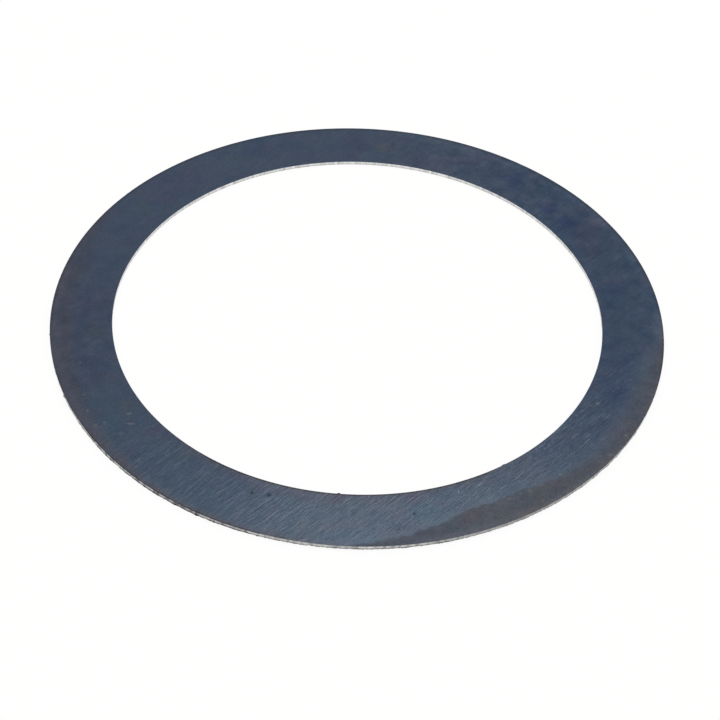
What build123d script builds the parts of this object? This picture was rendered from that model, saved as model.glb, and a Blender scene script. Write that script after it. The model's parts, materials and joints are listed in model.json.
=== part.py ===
"""Shim washer: a thin flat ring, blanked in one stroke from ground and blued steel strip.

The ring lies on its lower face. Its origin is the centre of the bore in the plane of that face,
and +Z points up along the bore. All lengths are in millimetres.
"""

import os

from build123d import *

# Nominal sizes: the bore suits the shaft, and the face is as wide as the shoulder that bears on it
bore_diameter = 60.0
face_width = 7.5
thickness = 0.5

# Form of the sheared edge, the same on the rim and in the bore
die_roll_radius = 0.05  # rounding at the upper face, where the strip was drawn down before it was cut
torn_height = 0.17  # height of the torn band over the lower face; the smooth land stands above it
torn_relief = 0.03  # how far the torn band has fallen back from the land at the lower face

bore_radius = bore_diameter / 2
outer_radius = bore_radius + face_width

with BuildPart() as shim_washer:
    # Section through one side of the ring, with the bore on its left and the rim on its right
    with BuildSketch(Plane.XZ) as ring_section:
        with BuildLine():
            Polyline(
                (bore_radius + torn_relief, 0),
                (outer_radius - torn_relief, 0),
                (outer_radius, torn_height),
                (outer_radius, thickness),
                (bore_radius, thickness),
                (bore_radius, torn_height),
                close=True,
            )
        make_face()
        upper_corners = ring_section.vertices().group_by(Axis.Y)[-1]
        fillet(upper_corners, radius=die_roll_radius)
    revolve(axis=Axis.Z)

shim_washer.part.label = "shim_washer"

os.makedirs("parts", exist_ok=True)
export_step(shim_washer.part, "parts/shim_washer.step")
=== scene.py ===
import json

import bpy
import numpy as np
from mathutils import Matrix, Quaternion, Vector


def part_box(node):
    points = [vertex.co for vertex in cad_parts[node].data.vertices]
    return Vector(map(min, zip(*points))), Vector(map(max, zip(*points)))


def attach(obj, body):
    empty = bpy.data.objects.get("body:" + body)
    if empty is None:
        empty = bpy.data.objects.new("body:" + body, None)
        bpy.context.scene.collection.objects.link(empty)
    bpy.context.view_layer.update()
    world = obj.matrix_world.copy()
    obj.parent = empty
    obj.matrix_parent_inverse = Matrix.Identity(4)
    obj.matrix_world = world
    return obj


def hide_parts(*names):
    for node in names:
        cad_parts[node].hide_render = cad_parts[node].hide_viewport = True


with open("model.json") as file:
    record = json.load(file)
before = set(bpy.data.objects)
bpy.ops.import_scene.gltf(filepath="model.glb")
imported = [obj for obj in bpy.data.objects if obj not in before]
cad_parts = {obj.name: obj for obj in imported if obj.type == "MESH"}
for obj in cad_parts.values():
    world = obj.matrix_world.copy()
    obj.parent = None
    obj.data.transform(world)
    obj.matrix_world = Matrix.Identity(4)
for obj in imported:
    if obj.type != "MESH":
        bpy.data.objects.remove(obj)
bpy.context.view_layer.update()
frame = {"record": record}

# The ring's form
# One thin ring, blanked at one stroke from ground and blued steel strip. Punch and die left a sheared edge
# on its rim and in its bore: a rounded die roll at the upper face, a smooth land, and a torn band below.

MM = 0.001
mounts = {mount["name"]: mount for mount in frame["record"]["mounts"]}
rim_radius = mounts["rim"]["dims"]["r_mm"] * MM
bore_radius = mounts["bore"]["dims"]["r_mm"] * MM
land_length = mounts["rim"]["dims"]["length_mm"] * MM
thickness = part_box("shim_washer")[1].z
torn_height = mounts["rim"]["pos_m"][2] - land_length / 2
die_roll = thickness - torn_height - land_length
torn_relief = 0.03 * MM

turn_steps = 2880
turn = np.arange(turn_steps) / turn_steps * 2 * np.pi
turn_degrees = np.degrees(turn)


def straight(start, end, steps):
    """Stations on a straight stretch of the section, from its start up to just before its end."""
    share = np.arange(steps)[:, None] / steps
    return np.array(start) + share * (np.array(end) - np.array(start))


def rounded(centre, start, steps):
    """Stations on a quarter of the die roll's circle, anticlockwise from the start angle up to just before
    the quarter's end."""
    angle = start + np.arange(steps) / steps * np.pi / 2
    return np.array(centre) + die_roll * np.stack([np.cos(angle), np.sin(angle)], axis=1)


# The section runs anticlockwise from the lower face at the bore: radius and height of each station
face_steps = 3
torn_steps = 5
land_steps = 4
roll_steps = 4
worn_steps = 2
bore_foot = (bore_radius + torn_relief, 0)
rim_foot = (rim_radius - torn_relief, 0)
rim_border = (rim_radius, torn_height)
bore_border = (bore_radius, torn_height)
rim_land_top = (rim_radius, thickness - die_roll)
bore_land_top = (bore_radius, thickness - die_roll)
rim_roll = rounded((rim_radius - die_roll, thickness - die_roll), 0, roll_steps)
bore_roll = rounded((bore_radius + die_roll, thickness - die_roll), np.pi / 2, roll_steps)
upper_rim = (rim_radius - die_roll, thickness)
upper_bore = (bore_radius + die_roll, thickness)
stretches = {
    "lower_face": straight(bore_foot, rim_foot, face_steps),
    "rim_torn": straight(rim_foot, rim_border, torn_steps),
    "rim_land": straight(rim_border, rim_land_top, land_steps),
    "rim_worn_lip": rim_roll[:worn_steps],
    "rim_roll": rim_roll[worn_steps:],
    "upper_face": straight(upper_rim, upper_bore, face_steps),
    "bore_roll": bore_roll,
    "bore_land": straight(bore_land_top, bore_border, land_steps),
    "bore_torn": straight(bore_border, bore_foot, torn_steps),
}
section = np.concatenate(list(stretches.values()))
zone = np.repeat(np.array(list(stretches)), [len(stretch) for stretch in stretches.values()])
stations = len(section)


def ripple(fewest, most, seed):
    """A closed random wave round the ring with a spread of one: the sum of cosines with every whole number
    of waves from fewest to most in a turn, each with a random size and phase."""
    draw = np.random.default_rng(seed)
    waves = np.arange(fewest, most + 1)
    sizes = draw.normal(size=waves.size)
    phases = draw.uniform(0, 2 * np.pi, waves.size)
    wave = np.cos(turn[:, None] * waves + phases) @ sizes
    return wave / wave.std()


def burrs(radius, marks):
    """Small bells along an edge of that radius: each mark gives its place in degrees, half its width and
    its reach."""
    degrees, half_width, reach = np.array(marks).T
    apart = (turn[:, None] - np.radians(degrees) + np.pi) % (2 * np.pi) - np.pi
    return np.exp(-((apart * radius / half_width) ** 2)) @ reach


# The torn band is ragged, its upper border wanders and it flares on one side. The stroke left fine drag
# marks, and small burrs sit on the edges
tear_spread = 0.015 * MM
drag_spread = 0.0015 * MM
wander_spread = 0.025 * MM
flare_reach = 0.045 * MM
flare_degrees = (200, 218, 248, 258)
flare_shares = (0, 1, 1, 0)
rim_marks = (
    (254.7, 0.12 * MM, 0.07 * MM),
    (232.3, 0.25 * MM, 0.04 * MM),
    (235.3, 0.25 * MM, 0.04 * MM),
    (238.9, 0.25 * MM, 0.04 * MM),
    (243.4, 0.25 * MM, 0.04 * MM),
    (188.9, 0.20 * MM, 0.13 * MM),
    (205.6, 0.20 * MM, 0.08 * MM),
)
bore_marks = ((267.5, 0.16 * MM, 0.14 * MM), (304.8, 0.22 * MM, 0.08 * MM))
on_rim = np.char.startswith(zone, "rim")[:, None]
on_bore = np.char.startswith(zone, "bore")[:, None]
is_edge = on_rim | on_bore
outward = on_rim * 1.0 - on_bore
low_share = np.clip(1 - section[:, 1:] / torn_height, 0, 1)
border_share = np.interp(section[:, 1:], [0, torn_height, thickness - die_roll], [0, 1, 0]) * is_edge
fine_tear = tear_spread * ripple(fewest=150, most=700, seed=3)
tear = fine_tear + tear_spread * ripple(fewest=25, most=140, seed=4)
drag = drag_spread * ripple(fewest=200, most=800, seed=5)
wander = wander_spread * ripple(fewest=30, most=260, seed=6)
flare = flare_reach * np.interp(turn_degrees, flare_degrees, flare_shares)
rim_burrs = low_share * (burrs(rim_radius, rim_marks) + flare)
bore_burrs = burrs(bore_radius, bore_marks)
radius = section[:, :1] + outward * (low_share * tear + drag) + on_rim * rim_burrs - on_bore * bore_burrs
height = section[:, 1:] + border_share * wander
points = np.stack([radius * np.cos(turn), radius * np.sin(turn), height], axis=2)

station, step = np.meshgrid(np.arange(stations), np.arange(turn_steps), indexing="ij")
next_station = (station + 1) % stations
next_step = (step + 1) % turn_steps
corners = np.stack(
    [
        station * turn_steps + step,
        station * turn_steps + next_step,
        next_station * turn_steps + next_step,
        next_station * turn_steps + step,
    ],
    axis=2,
)

# The skin unrolls into a flat map: each quarter turn is one band, and the bands lie side by side with gaps
band_count = 4
band_gap = 0.4 * MM
edge_magnify = 2
band_steps = turn_steps // band_count
lengths = np.hypot(*(np.roll(section, -1, axis=0) - section).T) * np.where(is_edge[:, 0], edge_magnify, 1)
girth = np.concatenate([[0], np.cumsum(lengths)])
band_pitch = girth[-1] + band_gap
band_start = step // band_steps * band_pitch + band_gap / 2
across = np.stack([girth[station], girth[station], girth[station + 1], girth[station + 1]], axis=2)
down = step % band_steps
unrolled = np.stack(
    [
        (across + band_start[..., None]) / (band_count * band_pitch),
        np.stack([down, down + 1, down + 1, down], axis=2) / band_steps,
    ],
    axis=3,
)

# The die roll is worn down to bare steel on part of the rim, and the other rolls are blued like the faces
worn_from, worn_to = np.radians((255, 325))
face_zone = np.repeat(zone, turn_steps)
is_flat = np.char.endswith(face_zone, "face")
is_worn = (face_zone == "rim_worn_lip") & np.tile((turn > worn_from) & (turn < worn_to), stations)
is_sheared = np.char.endswith(face_zone, "land") | np.char.endswith(face_zone, "torn") | is_worn

mesh = bpy.data.meshes.new("shim_washer_ring")
mesh.vertices.add(stations * turn_steps)
mesh.vertices.foreach_set("co", points.reshape(-1).astype(np.float32))
mesh.loops.add(corners.size)
mesh.loops.foreach_set("vertex_index", corners.reshape(-1).astype(np.int32))
mesh.polygons.add(stations * turn_steps)
mesh.polygons.foreach_set("loop_start", np.arange(0, corners.size, 4, dtype=np.int32))
mesh.polygons.foreach_set("use_smooth", ~is_flat)
mesh.polygons.foreach_set("material_index", is_sheared.astype(np.int32))
mesh.uv_layers.new(name="OFBake").data.foreach_set("uv", unrolled.reshape(-1).astype(np.float32))
mesh.update(calc_edges=True)
mesh.validate()
ring = bpy.data.objects.new("shim_washer_ring", mesh)
bpy.context.scene.collection.objects.link(ring)
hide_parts("shim_washer")
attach(ring, "root")


# The blued faces
# The strip was ground along its length, which left straight fine lines, and then blued by heat. The thin
# oxide is slate blue, runs to navy and purple in places, and has brown stains along parts of the rim.


def node(tree, kind, inputs=None, **settings):
    """Adds a node of that kind with its settings, and fills its inputs with plain values or with the outputs
    of other nodes."""
    made = tree.nodes.new("ShaderNode" + kind)
    for name, value in settings.items():
        setattr(made, name, value)
    for socket, value in (inputs or {}).items():
        if isinstance(value, bpy.types.NodeSocket):
            tree.links.new(value, made.inputs[socket])
        else:
            made.inputs[socket].default_value = value
    return made


def maths(tree, operation, first, second=0.0, third=0.0, clamp=False):
    """The output of a Math node on up to three values."""
    inputs = {0: first, 1: second, 2: third}
    return node(tree, "Math", inputs, operation=operation, use_clamp=clamp).outputs[0]


def vector(tree, operation, first, second):
    """The output of a Vector Math node on two vectors."""
    return node(tree, "VectorMath", {0: first, 1: second}, operation=operation).outputs[0]


def scaled(tree, first, factor):
    """A vector or colour times one factor."""
    return node(tree, "VectorMath", {0: first, "Scale": factor}, operation="SCALE").outputs[0]


def toned(tree, colour, shade, balance=(1.16, 1.0, 0.87)):
    """A colour plus its product with a shade: lighter or darker, and with the usual balance the change looks
    neutral on this slate blue."""
    swing = scaled(tree, balance, shade)
    return node(tree, "VectorMath", {0: colour, 1: swing, 2: colour}, operation="MULTIPLY_ADD").outputs[0]


def mixed(tree, share, first, second, blend="MIX"):
    """The output of a colour Mix node: first, changed by that share towards second."""
    inputs = {0: share, 6: first, 7: second}
    return node(tree, "Mix", inputs, data_type="RGBA", blend_type=blend).outputs[2]


def ranged(tree, value, low, high, to_low=0.0, to_high=1.0, smooth=False):
    """The output of a Map Range node that takes low and high to to_low and to_high, and no further."""
    inputs = {"Value": value, "From Min": low, "From Max": high, "To Min": to_low, "To Max": to_high}
    kind = "SMOOTHSTEP" if smooth else "LINEAR"
    return node(tree, "MapRange", inputs, interpolation_type=kind).outputs[0]


def noise(tree, place, scale, detail=2.0, roughness=0.5):
    """The value of a Noise Texture at a place, with scale features in each unit of length."""
    inputs = {"Vector": place, "Scale": scale, "Detail": detail, "Roughness": roughness}
    return node(tree, "TexNoise", inputs).outputs[0]


def swung(tree, value, swing, middle=0.0):
    """A shade from a noise value: the two ends between which most noise lies go to the middle less the swing
    and the middle plus the swing."""
    usual_low = 0.3
    usual_high = 0.7
    return ranged(tree, value, usual_low, usual_high, middle - swing, middle + swing)


def stored(tree, name):
    """The value that the ring's mesh keeps under that name."""
    return node(tree, "Attribute", attribute_name=name).outputs["Fac"]


def empty_group(name, inputs, outputs):
    """A shader node group with those named sockets, and its two end nodes."""
    tree = bpy.data.node_groups.new(name, "ShaderNodeTree")
    for socket, kind in inputs.items():
        tree.interface.new_socket(name=socket, in_out="INPUT", socket_type="NodeSocket" + kind)
    for socket, kind in outputs.items():
        tree.interface.new_socket(name=socket, in_out="OUTPUT", socket_type="NodeSocket" + kind)
    return tree, tree.nodes.new("NodeGroupInput").outputs, tree.nodes.new("NodeGroupOutput").inputs


def grouped(tree, group, inputs):
    """The outputs of a node group placed in a tree."""
    return node(tree, "Group", inputs, node_tree=group).outputs


def new_material(name):
    """A node material with its Principled BSDF, and the object's own coordinates in millimetres."""
    material = bpy.data.materials.new(name)
    material.use_nodes = True
    tree = material.node_tree
    own = node(tree, "TexCoord").outputs["Object"]
    return material, tree, tree.nodes["Principled BSDF"].inputs, scaled(tree, own, 1 / MM)


# Grind lines: noise drawn out along the grinding direction, as short and long fine lines and a few grooves
grind_angle = np.radians(47.7)
lines_per_mm = {"Short": (1.3, 14.0, 9), "Long": (0.3, 12.0, 9), "Grooves": (0.5, 10.0, 9)}
groove_low = 0.54
groove_high = 0.72
grind_lines, given, put = empty_group(
    "grind_lines", {"Place": "Vector"}, {"Short": "Float", "Long": "Float", "Grooves": "Float"}
)
inputs = {"Vector": given["Place"], "Angle": -grind_angle}
along = node(grind_lines, "VectorRotate", inputs, rotation_type="Z_AXIS").outputs[0]
for name, stretch in lines_per_mm.items():
    drawn = noise(grind_lines, vector(grind_lines, "MULTIPLY", along, stretch), 1.0, detail=1.0)
    if name == "Grooves":
        drawn = ranged(grind_lines, drawn, groove_low, groove_high, smooth=True)
    grind_lines.links.new(drawn, put[name])

# Ragged field: a depth past a border, in millimetres, becomes a mask whose border is frayed by noise
frays_per_mm = 0.9
ragged_field, given, put = empty_group(
    "ragged_field",
    {"Place": "Vector", "Depth": "Float", "Fray": "Float", "Softness": "Float"},
    {"Mask": "Float"},
)
frayed = noise(ragged_field, given["Place"], frays_per_mm, detail=5.0, roughness=0.62)
frayed = maths(ragged_field, "SUBTRACT", frayed, 0.5)
frayed = maths(ragged_field, "MULTIPLY", frayed, given["Fray"])
frayed = maths(ragged_field, "ADD", frayed, given["Depth"])
outer_end = maths(ragged_field, "MULTIPLY", given["Softness"], -1.0)
ragged_field.links.new(ranged(ragged_field, frayed, outer_end, given["Softness"], smooth=True), put["Mask"])

# Fleck: a frayed spot round a centre, drawn out by its half sizes
core_reach = 0.7
border_reach = 1.6
fleck, given, put = empty_group(
    "fleck",
    {"Place": "Vector", "Centre": "Vector", "Half Size": "Vector", "Fray Scale": "Float"},
    {"Mask": "Float"},
)
apart = vector(fleck, "SUBTRACT", given["Place"], given["Centre"])
apart = vector(fleck, "DIVIDE", apart, given["Half Size"])
reach = node(fleck, "VectorMath", {0: apart}, operation="LENGTH").outputs["Value"]
frayed = maths(fleck, "ADD", reach, noise(fleck, given["Place"], given["Fray Scale"]))
fleck.links.new(ranged(fleck, frayed, core_reach, border_reach, 1.0, 0.0, smooth=True), put["Mask"])

from_rim = (rim_radius - radius) / MM
from_bore = (radius - bore_radius) / MM
anywhere = 0
is_under = section[:, 1:] < thickness / 2
far_outside = -9


def by_turn(places):
    """A value for each step round the ring, in straight runs between values at places in degrees."""
    degrees, values = np.array(places).T
    return np.interp(turn_degrees, degrees, values, period=360)


def store(name, values):
    """Keeps one value for each point of the ring as an attribute of its mesh."""
    values = np.broadcast_to(values, radius.shape).reshape(-1)
    mesh.attributes.new(name, "FLOAT", "POINT").data.foreach_set("value", values.astype(np.float32))


def depth_field(name, gap, places):
    """Stores, at each point of the upper side, how deep it lies inside a field that starts at an edge: the
    field's reach from the edge, in millimetres at places round the turn, less the gap between point and
    edge."""
    store(name, np.where(is_under, far_outside, by_turn(places) - gap))


# Tinted fields of the oxide, and a painted highlight and a painted shade: where each is measured from, its
# tint, the fray and softness of its border in millimetres, and its reach at places round the turn
fields = {
    "navy_side": {
        "from": anywhere, "tint": (0.87, 0.93, 1.00, 1), "fray": 5.0, "softness": 2.5,
        "reach": ((310, -2.5), (318, -1), (335, 0.3), (350, 1.5), (15, 3), (45, 2), (75, -2)),
    },
    # Painted highlight: a paler patch on the near left that widens the lamp's highlight there
    "left_pale": {
        "from": anywhere, "tint": (1.05, 1.08, 1.06, 1), "fray": 2.0, "softness": 1.2,
        "reach": ((198, -1.5), (212, 1), (234, 1), (246, -1.5)),
    },
    "far_pale": {
        "from": anywhere, "tint": (1.05, 1.03, 1.02, 1), "fray": 2.0, "softness": 1.2,
        "reach": ((5, -1.5), (25, 0.3), (60, 1.5), (140, 1.5), (175, -1.5)),
    },
    "bore_tint": {
        "from": from_bore, "tint": (1.03, 0.93, 0.92, 1), "fray": 1.6, "softness": 0.8,
        "reach": (
            (200, -1), (230, 1.0), (241, 0.9), (250, 1.7), (268, 1.6), (281, 1.5), (290, 0.7), (302, 0.5),
            (325, -1),
        ),
    },
    "plum_bloom": {
        "from": from_rim, "tint": (1.10, 0.92, 0.85, 1), "fray": 2.4, "softness": 0.7,
        "reach": (
            (40, -3), (130, -2), (158, 1.2), (170, 2.6), (190, 2.6), (202, 2.3), (214, 1.6), (228, 0.8),
            (240, 0.2), (262, -0.3), (272, -2),
        ),
    },
    "rim_pale": {
        "from": from_rim, "tint": (1.17, 1.15, 1.11, 1), "fray": 1.0, "softness": 0.6,
        "reach": (
            (0, 0.7), (15, 1.2), (30, 1.2), (60, 1.4), (76, 1.4), (90, -0.1), (140, -1), (160, 0.6),
            (200, 1.3), (222, 1.3), (240, 1.0), (252, -0.5), (335, -0.5),
        ),
    },
    "rim_brown": {
        "from": from_rim, "tint": (1.04, 0.93, 0.89, 1), "fray": 1.2, "softness": 0.3,
        "reach": (
            (0, 0.35), (190, 0.25), (225, 0.35), (250, 0.4), (258, 0.6), (266, 0.4), (272, 0.1), (282, -0.3),
            (300, -0.3), (315, 0.1), (335, 0.4),
        ),
    },
    "bore_brown": {
        "from": from_bore, "tint": (1.0, 0.93, 0.88, 1), "fray": 0.6, "softness": 0.2,
        "reach": ((200, -0.5), (225, 0.25), (300, 0.3), (320, -0.3)),
    },
    # Painted shade: a thin darker line along the rim's edge on the far side
    "roll_line": {
        "from": from_rim, "tint": (0.83, 0.83, 0.82, 1), "fray": 0.3, "softness": 0.1,
        "reach": (
            (0, 0.25), (30, 0.40), (45, 0.55), (110, 0.55), (150, 0.40), (185, 0.35), (198, -0.3),
            (335, -0.3), (345, 0.2),
        ),
    },
    "dark_lip": {
        "from": from_rim, "tint": (0.45, 0.44, 0.43, 1), "fray": 0.3, "softness": 0.06,
        "reach": (
            (180, -0.2), (195, 0.06), (255, 0.06), (285, 0.02), (300, -0.05), (330, 0.05), (345, 0.05),
        ),
    },
    "bore_lip": {
        "from": from_bore, "tint": (0.66, 0.62, 0.55, 1), "fray": 0.1, "softness": 0.08,
        "reach": ((222, -0.2), (238, 0.22), (300, 0.22), (310, -0.2)),
    },
    "stain_edge": {
        "from": from_rim, "tint": (1.24, 1.20, 1.16, 1), "fray": 0.8, "softness": 0.4,
        "reach": (
            (10, -1), (270, -0.6), (278, -0.3), (283, 0.4), (287, 0.8), (298, 0.8), (306, 0.5), (345, 0.2),
        ),
    },
}
for name, field in fields.items():
    depth_field(name, field["from"], field["reach"])
depth_field(
    "rim_stain",
    from_rim,
    (
        (12, -1.5), (258, -1.5), (268, -0.3), (272, 0.2), (276, 0.75), (280, 1.2), (282, 1.7), (284, 2.1),
        (286, 2.2), (290, 3.0), (294, 3.3), (302, 3.4), (308, 2.9), (314, 2.3), (322, 2.0), (334, 2.4),
        (345, 2.5), (352, 1.5), (0, 0.2),
    ),
)

# What changes round the turn: the stain's border and warmth, and how strong the grooves, lines, grain and
# mottle are. Lines and grooves are strongest where the lamp's highlight falls: in relief, and in tone as
# painted glints
strengths = {
    "stain_softness": (
        (0, 1.5), (256, 0.5), (278, 0.4), (284, 0.2), (290, 0.16), (305, 0.16), (312, 0.7), (320, 1.3),
        (335, 1.6),
    ),
    "stain_warmth": ((60, 1), (200, 0), (282, 0.1), (292, 0.5), (302, 0.9), (345, 1)),
    "groove_depth": (
        (30, 0.2), (60, 0.1), (205, 0.05), (216, 0.08), (228, 0.35), (245, 0.40), (256, 0.75), (262, 0.95),
        (300, 1.0), (315, 1.6), (330, 1.5), (343, 0.5), (352, 0.2), (0, 0.2),
    ),
    "line_depth": (
        (30, 0.6), (195, 0.3), (212, 0.2), (225, 0.5), (245, 0.8), (262, 1), (330, 1.1), (343, 0.8),
        (352, 0.5), (0, 0.5),
    ),
    "grain_depth": (
        (0, 0.7), (60, 0.8), (90, 1.35), (140, 1.2), (160, 0.8), (190, 0.85), (205, 1.15), (225, 1.1),
        (250, 0.75), (305, 0.75), (315, 1.0),
    ),
    "mottle_depth": (
        (0, 0.95), (15, 0.85), (32, 0.85), (48, 1.15), (72, 1.0), (90, 0.4), (140, 0.25), (165, 0.4),
        (185, 0.7), (198, 0.8), (214, 0.2), (305, 0.1), (330, 0.2),
    ),
}
for name, places in strengths.items():
    store(name, by_turn(places))

slate_blue = (0.0475, 0.0650, 0.0988, 1)
low_angle_tint = (0.80, 0.87, 0.97, 1)
blued, tree, finish, place = new_material("blued_ground_steel")
lines = grouped(tree, grind_lines, {"Place": place})

# The oxide's own colour: slate blue with soft clouds that run to navy, teal and plum, then the tinted fields.
# Each cloud has its tint and its features in a millimetre
colour = slate_blue
clouds = (((0.93, 0.96, 1.01, 1), 0.30), ((0.94, 1.03, 1.02, 1), 0.24), ((1.07, 0.97, 0.97, 1), 0.37))
cloud_low = 0.48
cloud_high = 0.68
shift_x = 37
shift_y = 91
shift_z = 53
for tint, scale in clouds:
    shifted = vector(tree, "ADD", place, (shift_x * scale, shift_y * scale, shift_z))
    cloud = ranged(tree, noise(tree, shifted, scale, detail=4.0, roughness=0.55), cloud_low, cloud_high)
    colour = mixed(tree, cloud, colour, tint, blend="MULTIPLY")
for name, field in fields.items():
    depth = stored(tree, name)
    inputs = {"Place": place, "Depth": depth, "Fray": field["fray"], "Softness": field["softness"]}
    mask = grouped(tree, ragged_field, inputs)["Mask"]
    colour = mixed(tree, mask, colour, field["tint"], blend="MULTIPLY")

# The stain is a dull film, slate at its left end and patchy brown on the right. It hides the lines, also
# just outside it, and has specks of two sizes: features in a millimetre, and swing in tone
film_slate = (1.43, 1.21, 1.08, 1)
film_brown = (1.41, 1.14, 0.94, 1)
film_fray = 1.5
film_margin = 0.6
margin_softness = 0.8
hidden_share = 0.9
film_specks = ((3.0, 0.09), (0.9, 0.07))
specks_shift = (19, 7, 0)
warm_patches_per_mm = 0.7
patch_low = 0.38
patch_high = 0.62
coolest_share = 0.3
warmest_share = 1.3
depth = stored(tree, "rim_stain")
inputs = {"Place": place, "Depth": depth, "Fray": film_fray, "Softness": stored(tree, "stain_softness")}
film = grouped(tree, ragged_field, inputs)["Mask"]
warm_patches = noise(tree, place, warm_patches_per_mm, detail=4.0, roughness=0.6)
warm_patches = ranged(tree, warm_patches, patch_low, patch_high, coolest_share, warmest_share)
warmth = maths(tree, "MULTIPLY", stored(tree, "stain_warmth"), warm_patches)
film_tint = mixed(tree, warmth, film_slate, film_brown)
colour = mixed(tree, maths(tree, "MULTIPLY", film, film), colour, film_tint, blend="MULTIPLY")
for scale, swing in film_specks:
    shade = swung(tree, noise(tree, vector(tree, "ADD", place, specks_shift), scale), swing)
    colour = toned(tree, colour, maths(tree, "MULTIPLY", shade, film))
inputs = {**inputs, "Depth": maths(tree, "ADD", depth, film_margin), "Softness": margin_softness}
bare = maths(tree, "MULTIPLY_ADD", grouped(tree, ragged_field, inputs)["Mask"], -hidden_share, 1.0)

# Fine grain and a soft warm mottle everywhere, and lines and grooves in tone where no film covers them.
# Their tone is partly painted glint, strongest where the lamp's highlight falls
grains_per_mm = 4.0
grain_swing = 0.13
mottles = ((1.2, 0.08), (0.5, 0.12))
warm_balance = (1.42, 1.0, 0.70)
short_swing = 0.20
long_swing = 0.15
groove_tone = 0.45
shade = swung(tree, noise(tree, place, grains_per_mm), grain_swing)
colour = toned(tree, colour, maths(tree, "MULTIPLY", shade, stored(tree, "grain_depth")))
mottle_depth = stored(tree, "mottle_depth")
for scale, swing in mottles:
    shade = swung(tree, noise(tree, place, scale, detail=1.0), swing)
    colour = toned(tree, colour, maths(tree, "MULTIPLY", shade, mottle_depth), balance=warm_balance)
line_depth = maths(tree, "MULTIPLY", stored(tree, "line_depth"), bare)
groove_depth = maths(tree, "MULTIPLY", stored(tree, "groove_depth"), bare)
grooves = maths(tree, "MULTIPLY", lines["Grooves"], groove_depth)
for drawn, swing in ((lines["Short"], short_swing), (lines["Long"], long_swing)):
    colour = toned(tree, colour, maths(tree, "MULTIPLY", swung(tree, drawn, swing), line_depth))
colour = toned(tree, colour, maths(tree, "MULTIPLY", grooves, groove_tone))

# Soft patches where the oxide runs to other colours, then specks of dust and dark pits: each has its colour,
# strength, centre and half sizes
navy = (0.55, 0.62, 0.92, 1)
dusk = (0.62, 0.68, 0.76, 1)
plum = (0.90, 0.79, 0.86, 1)
purple = (1.03, 0.93, 1.00, 1)
brown = (1.08, 0.95, 0.90, 1)
ash = (1.12, 1.08, 1.00, 1)
olive = (1.08, 1.08, 0.93, 1)
haze = (1.14, 1.12, 1.10, 1)
amber = (1.45, 1.22, 0.92, 1)
rose = (1.45, 1.17, 1.16, 1)
patches = (
    (navy, 0.25, (31.5, -6.5), (2.8, 4.0)),
    (dusk, 0.25, (31.8, 3.9), (2.0, 1.8)),
    (navy, 0.28, (32.0, 5.9), (1.8, 1.6)),
    (ash, 0.60, (32.6, 8.6), (1.6, 1.2)),
    (dusk, 0.30, (31.1, 9.8), (1.6, 1.6)),
    (rose, 0.40, (34.7, 12.2), (1.0, 0.9)),
    (brown, 0.60, (29.3, 13.4), (2.4, 2.2)),
    (plum, 0.80, (28.5, 17.5), (2.8, 2.6)),
    (rose, 0.60, (30.9, 19.2), (1.5, 1.4)),
    (navy, 0.60, (26.5, 19.1), (1.7, 1.7)),
    (dusk, 0.35, (28.9, 21.1), (1.6, 1.6)),
    (navy, 0.60, (24.7, 21.5), (1.7, 1.8)),
    (rose, 0.50, (23.7, 23.2), (1.6, 2.2)),
    (dusk, 0.60, (23.2, 27.3), (1.0, 1.8)),
    (navy, 0.35, (20.2, 27.5), (2.4, 2.8)),
    (purple, 0.70, (14.5, 31.0), (3.0, 2.6)),
    (amber, 0.55, (2.8, 33.4), (1.4, 1.6)),
    (navy, 0.25, (-0.9, 33.8), (2.6, 2.4)),
    (navy, 0.15, (-10.0, 32.6), (2.6, 2.4)),
    (navy, 0.30, (-14.9, 32.3), (2.8, 3.4)),
    (olive, 0.90, (-18.5, 29.9), (0.9, 0.8)),
    (purple, 0.60, (-24.0, 24.0), (3.2, 3.2)),
    (purple, 0.60, (-26.4, 20.3), (2.2, 2.2)),
    (olive, 0.50, (-28.5, 18.2), (1.6, 2.2)),
    (purple, 0.60, (-33.2, -2.3), (2.8, 4.0)),
    (olive, 0.70, (-31.9, -5.3), (1.8, 2.2)),
    (purple, 0.60, (-30.8, -11.5), (2.6, 4.0)),
    (olive, 0.70, (-26.4, -17.8), (2.0, 1.6)),
    (purple, 0.60, (-22.7, -21.9), (2.0, 1.4)),
    (amber, 0.30, (-18.8, -25.0), (1.2, 0.9)),
    (navy, 0.35, (30.8, -12.0), (2.6, 3.4)),
    (rose, 0.40, (-28.6, -21.6), (1.4, 1.2)),
    (rose, 0.25, (-16.8, -31.8), (2.0, 1.4)),
    (haze, 0.80, (14.8, -29.8), (3.0, 1.8)),
    (haze, 0.90, (20.6, -26.2), (3.0, 2.6)),
    (dusk, 0.22, (5.4, -34.2), (3.4, 2.0)),
    (dusk, 0.20, (-1.2, -32.6), (3.0, 2.0)),
)
pink_dust = (0.155, 0.145, 0.160, 1)
pale_dust = (0.15, 0.175, 0.210, 1)
pit = (0.012, 0.016, 0.026, 1)
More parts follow.
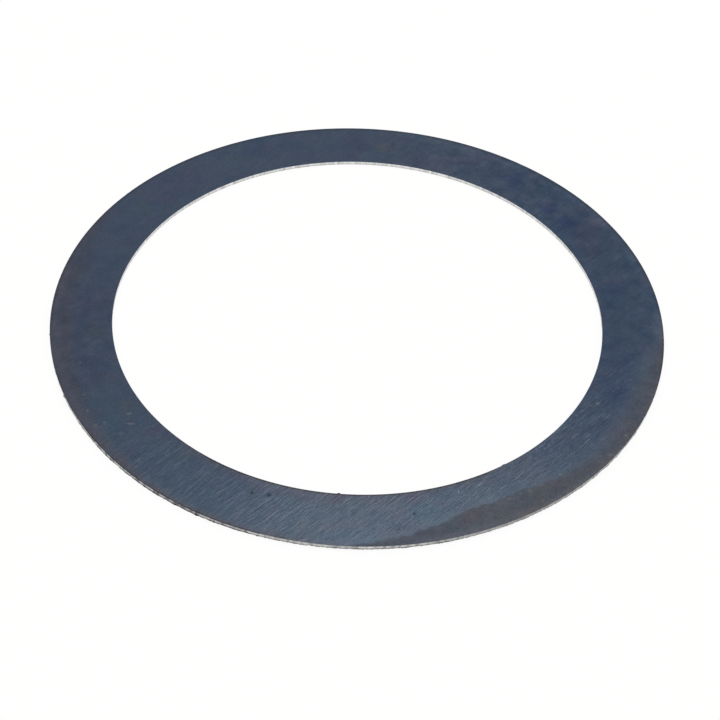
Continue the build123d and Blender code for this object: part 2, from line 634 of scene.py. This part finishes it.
flecks = (
    (pale_dust, 0.25, (23.5, -25.8), (0.3, 0.3)),
    (pale_dust, 0.30, (18.9, -28.9), (0.25, 0.25)),
    (pale_dust, 0.30, (29.4, -22.4), (0.5, 0.3)),
    (pink_dust, 0.35, (17.6, -29.7), (0.45, 0.35)),
    (pink_dust, 0.42, (20.0, -28.4), (0.3, 0.3)),
    (pale_dust, 0.50, (12.0, -29.0), (0.15, 0.35)),
    (pale_dust, 0.55, (28.5, -14.3), (0.3, 0.3)),
    (pale_dust, 0.30, (25.9, -16.4), (0.25, 0.25)),
    (pale_dust, 0.45, (31.4, -19.3), (0.25, 0.25)),
    (pale_dust, 0.38, (-25.9, -19.0), (0.45, 0.20)),
    (pink_dust, 0.52, (-25.5, -20.6), (0.6, 0.22)),
    (pink_dust, 0.28, (-32.6, -10.9), (0.3, 0.3)),
    (pale_dust, 0.25, (-31.5, -16.2), (0.25, 0.25)),
    (pale_dust, 0.35, (-30.7, -18.8), (0.25, 0.3)),
    (pink_dust, 0.25, (-29.5, -21.1), (0.4, 0.4)),
    (pale_dust, 0.25, (-28.5, -20.6), (0.25, 0.3)),
    (pink_dust, 0.25, (-26.4, -22.2), (0.4, 0.35)),
    (pit, 0.85, (-10.9, -30.4), (0.28, 0.28)),
    (pit, 0.80, (-9.0, -30.6), (0.34, 0.34)),
    (pit, 0.65, (7.1, -32.5), (0.28, 0.28)),
)
upper = thickness / MM
spot_half_height = 0.2
frays_per_spot = 1.5
for blend, spots in (("MULTIPLY", patches), ("MIX", flecks)):
    for spot_colour, strength, centre, half_size in spots:
        inputs = {
            "Place": place,
            "Centre": (*centre, upper),
            "Half Size": (*half_size, spot_half_height),
            "Fray Scale": frays_per_spot / max(half_size),
        }
        spot = maths(tree, "MULTIPLY", grouped(tree, fleck, inputs)["Mask"], strength)
        colour = mixed(tree, spot, colour, spot_colour, blend=blend)

# The ground face is fairly smooth and the film is dull; lines stand up a little and grooves are cut in
ground_roughness = 0.22
film_roughness = 0.55
line_height = 0.011 * MM
groove_share = 0.7
tree.links.new(colour, finish["Base Color"])
finish["Metallic"].default_value = 1.0
finish["Specular Tint"].default_value = low_angle_tint
tree.links.new(ranged(tree, film, 0.0, 1.0, ground_roughness, film_roughness), finish["Roughness"])
relief = maths(tree, "MULTIPLY", maths(tree, "ADD", lines["Short"], lines["Long"]), 0.5)
relief = maths(tree, "MULTIPLY", relief, line_depth)
relief = maths(tree, "MULTIPLY_ADD", grooves, -groove_share, relief)
bump = node(tree, "Bump", {"Strength": 1.0, "Distance": line_height, "Height": relief})
tree.links.new(bump.outputs[0], finish["Normal"])
mesh.materials.append(blued)


# The sheared edges
# The rim and the bore are bare steel where the punch and die went through. The land is burnished and has
# fine marks along the stroke, and the torn band under it is rough and darker. Dirt sits on part of the rim.
# Painted shade darkens the steel round each burr, and the land along the near right rim.

# Dirt along the rim and a trace of it in the bore, and painted shade round each burr
burr_shade_width_share = 1.2
rim_burr_shade = 0.8
bore_burr_shade = 1.5
bore_trace = 0.1
rim_burr_shade_spots = [(spot, burr_shade_width_share * width, rim_burr_shade) for spot, width, _ in rim_marks]
bore_burr_shade_spots = [(spot, burr_shade_width_share * width, bore_burr_shade) for spot, width, _ in bore_marks]
rim_dirt_and_shade = by_turn(
    ((60, 0.3), (180, 0.6), (205, 0.9), (250, 0.9), (256, 0.5), (285, 0.5), (296, 0.05), (335, 0.05))
)
rim_dirt_and_shade = rim_dirt_and_shade + burrs(rim_radius, rim_burr_shade_spots)
bore_dirt_and_shade = bore_trace + burrs(bore_radius, bore_burr_shade_spots)
store("edge_dirt", on_rim * rim_dirt_and_shade + on_bore * bore_dirt_and_shade)

# How bright the clean land is, with painted shade where it falls along the near right rim, and how
# bright the torn band is
rim_shine_and_shade = by_turn(
    (
        (60, 0.50), (200, 0.50), (222, 0.48), (235, 0.45), (250, 0.46), (258, 0.54), (280, 0.55),
        (290, 0.42), (298, 0.33), (330, 0.35),
    )
)
bore_shine = 0.70
rim_torn_shine = 0.34
bore_torn_shine = 0.66
store("edge_shine", np.where(on_rim, rim_shine_and_shade, bore_shine))
store("torn_shine", np.where(on_rim, rim_torn_shine, bore_torn_shine))

land_hue = (1, 1, 0.99)
torn_hue = (1, 1, 1)
torn_dirty_and_shaded = (0.13, 0.128, 0.126, 1)
dirt_and_shade_tint = (0.25, 0.245, 0.24, 1)
land_roughness = 0.32
torn_roughness = 0.55
torn_fray = 0.3
torn_softness = 0.03
dirt_patches_per_mm = 1.4
dirt_low = 0.46
dirt_high = 0.58
stroke_stretch = (1, 1, 0.12)
stroke_marks = ((6.0, 0.2), (1.8, 0.2))
scores_per_mm = 6.0
score_strength = 0.4
score_height = 0.02 * MM

sheared, tree, finish, place = new_material("sheared_steel")
stroke = vector(tree, "MULTIPLY", place, stroke_stretch)
depth = maths(tree, "SUBTRACT", torn_height / MM, node(tree, "SeparateXYZ", {0: place}).outputs["Z"])
inputs = {"Place": stroke, "Depth": depth, "Fray": torn_fray, "Softness": torn_softness}
torn = grouped(tree, ragged_field, inputs)["Mask"]
soil_and_shade = stored(tree, "edge_dirt")
patchy = noise(tree, stroke, dirt_patches_per_mm, detail=4.0, roughness=0.65)
patchy = ranged(tree, patchy, dirt_low, dirt_high)
# Patchy where the amount is under one; past one, round the burrs, an even painted shade
dirt_and_shade = maths(tree, "MAXIMUM", maths(tree, "MULTIPLY", soil_and_shade, patchy), maths(tree, "SUBTRACT", soil_and_shade, 1.0))
land_clean = scaled(tree, land_hue, stored(tree, "edge_shine"))
torn_clean = scaled(tree, torn_hue, stored(tree, "torn_shine"))
colour = mixed(tree, torn, land_clean, mixed(tree, soil_and_shade, torn_clean, torn_dirty_and_shaded))
colour = mixed(tree, dirt_and_shade, colour, dirt_and_shade_tint, blend="MULTIPLY")
for scale, swing in stroke_marks:
    colour = scaled(tree, colour, swung(tree, noise(tree, stroke, scale), swing, middle=1.0))
tree.links.new(colour, finish["Base Color"])
finish["Metallic"].default_value = 1.0
tree.links.new(ranged(tree, torn, 0.0, 1.0, land_roughness, torn_roughness), finish["Roughness"])
scores = noise(tree, stroke, scores_per_mm, detail=3.0)
bump = node(tree, "Bump", {"Strength": score_strength, "Distance": score_height, "Height": scores})
tree.links.new(bump.outputs[0], finish["Normal"])
mesh.materials.append(sheared)


# The floor and the light
# A white table top that shows only from above, an even white surround, and one soft lamp high behind the
# ring. To the camera and in reflections the top is plain white, apart from the ring's shadow on it.

floor_half = 1.5
floor_drop = 0.01 * MM
floor_paint = (0.9, 0.9, 0.9, 1)
white = (1, 1, 1, 1)
glow_share = 0.88
floor_mesh = bpy.data.meshes.new("floor")
unit_square = np.array([(-1, -1, 0), (1, -1, 0), (1, 1, 0), (-1, 1, 0)])
floor_corners = unit_square * floor_half - (0, 0, floor_drop)
floor_mesh.from_pydata(floor_corners.tolist(), [], [(0, 1, 2, 3)])
floor = bpy.data.objects.new("floor", floor_mesh)
bpy.context.scene.collection.objects.link(floor)
floor_white = bpy.data.materials.new("floor_white")
floor_white.use_nodes = True
tree = floor_white.node_tree
tree.nodes.clear()
path = node(tree, "LightPath").outputs
seen = maths(tree, "ADD", path["Is Camera Ray"], path["Is Glossy Ray"])
seen = maths(tree, "ADD", seen, path["Is Transmission Ray"], clamp=True)
glow_part = maths(tree, "MULTIPLY", seen, glow_share)
matt = node(tree, "BsdfDiffuse", {"Color": floor_paint})
glow = node(tree, "Emission", {"Color": white, "Strength": 1.0})
top = node(tree, "MixShader", {0: glow_part, 1: matt.outputs[0], 2: glow.outputs[0]})
behind = node(tree, "NewGeometry").outputs["Backfacing"]
clear = node(tree, "BsdfTransparent")
surface = node(tree, "MixShader", {0: behind, 1: top.outputs[0], 2: clear.outputs[0]})
tree.links.new(surface.outputs[0], node(tree, "OutputMaterial").inputs["Surface"])
floor_mesh.materials.append(floor_white)

world = bpy.data.worlds.new("white_surround")
world.use_nodes = True
world.node_tree.nodes["Background"].inputs["Color"].default_value = white
world.node_tree.nodes["Background"].inputs["Strength"].default_value = 1.0
bpy.context.scene.world = world

lamp = bpy.data.lights.new("soft_lamp", "AREA")
lamp.shape = "RECTANGLE"
lamp.size = 0.15
lamp.size_y = 0.20
lamp.energy = 0.242
lamp.color = (0.965, 0.85, 0.63)
lamp_distance = 0.40
lamp_elevation = np.radians(66)
lamp_azimuth = np.radians(10.7)
level = np.cos(lamp_elevation)
lamp_way = Vector((level * np.sin(lamp_azimuth), level * np.cos(lamp_azimuth), np.sin(lamp_elevation)))
lamp_place = lamp_distance * lamp_way
soft_lamp = bpy.data.objects.new("soft_lamp", lamp)
soft_lamp.location = lamp_place
soft_lamp.rotation_euler = (-lamp_place).to_track_quat("-Z", "Y").to_euler()
bpy.context.scene.collection.objects.link(soft_lamp)

# The camera
# It stands where the photograph was taken from: in front of the ring, looking down on it at about 42 degrees
# through a long lens, and turned a little about its own line of sight.

eye = Vector((0, -160.81, 147.50)) * MM
aim = Vector((0.47, -8.56, 0.50)) * MM
roll = np.radians(2.453)
camera = bpy.data.objects.new("camera", bpy.data.cameras.new("camera"))
camera.data.lens = 88.565
camera.data.sensor_width = 36.0
camera.data.clip_start = 0.01
camera.location = eye
upright = (aim - eye).to_track_quat("-Z", "Y")
camera.rotation_euler = (upright @ Quaternion((0, 0, 1), roll)).to_euler()
bpy.context.scene.collection.objects.link(camera)
bpy.context.scene.camera = camera
bpy.context.scene.view_settings.view_transform = "Standard"
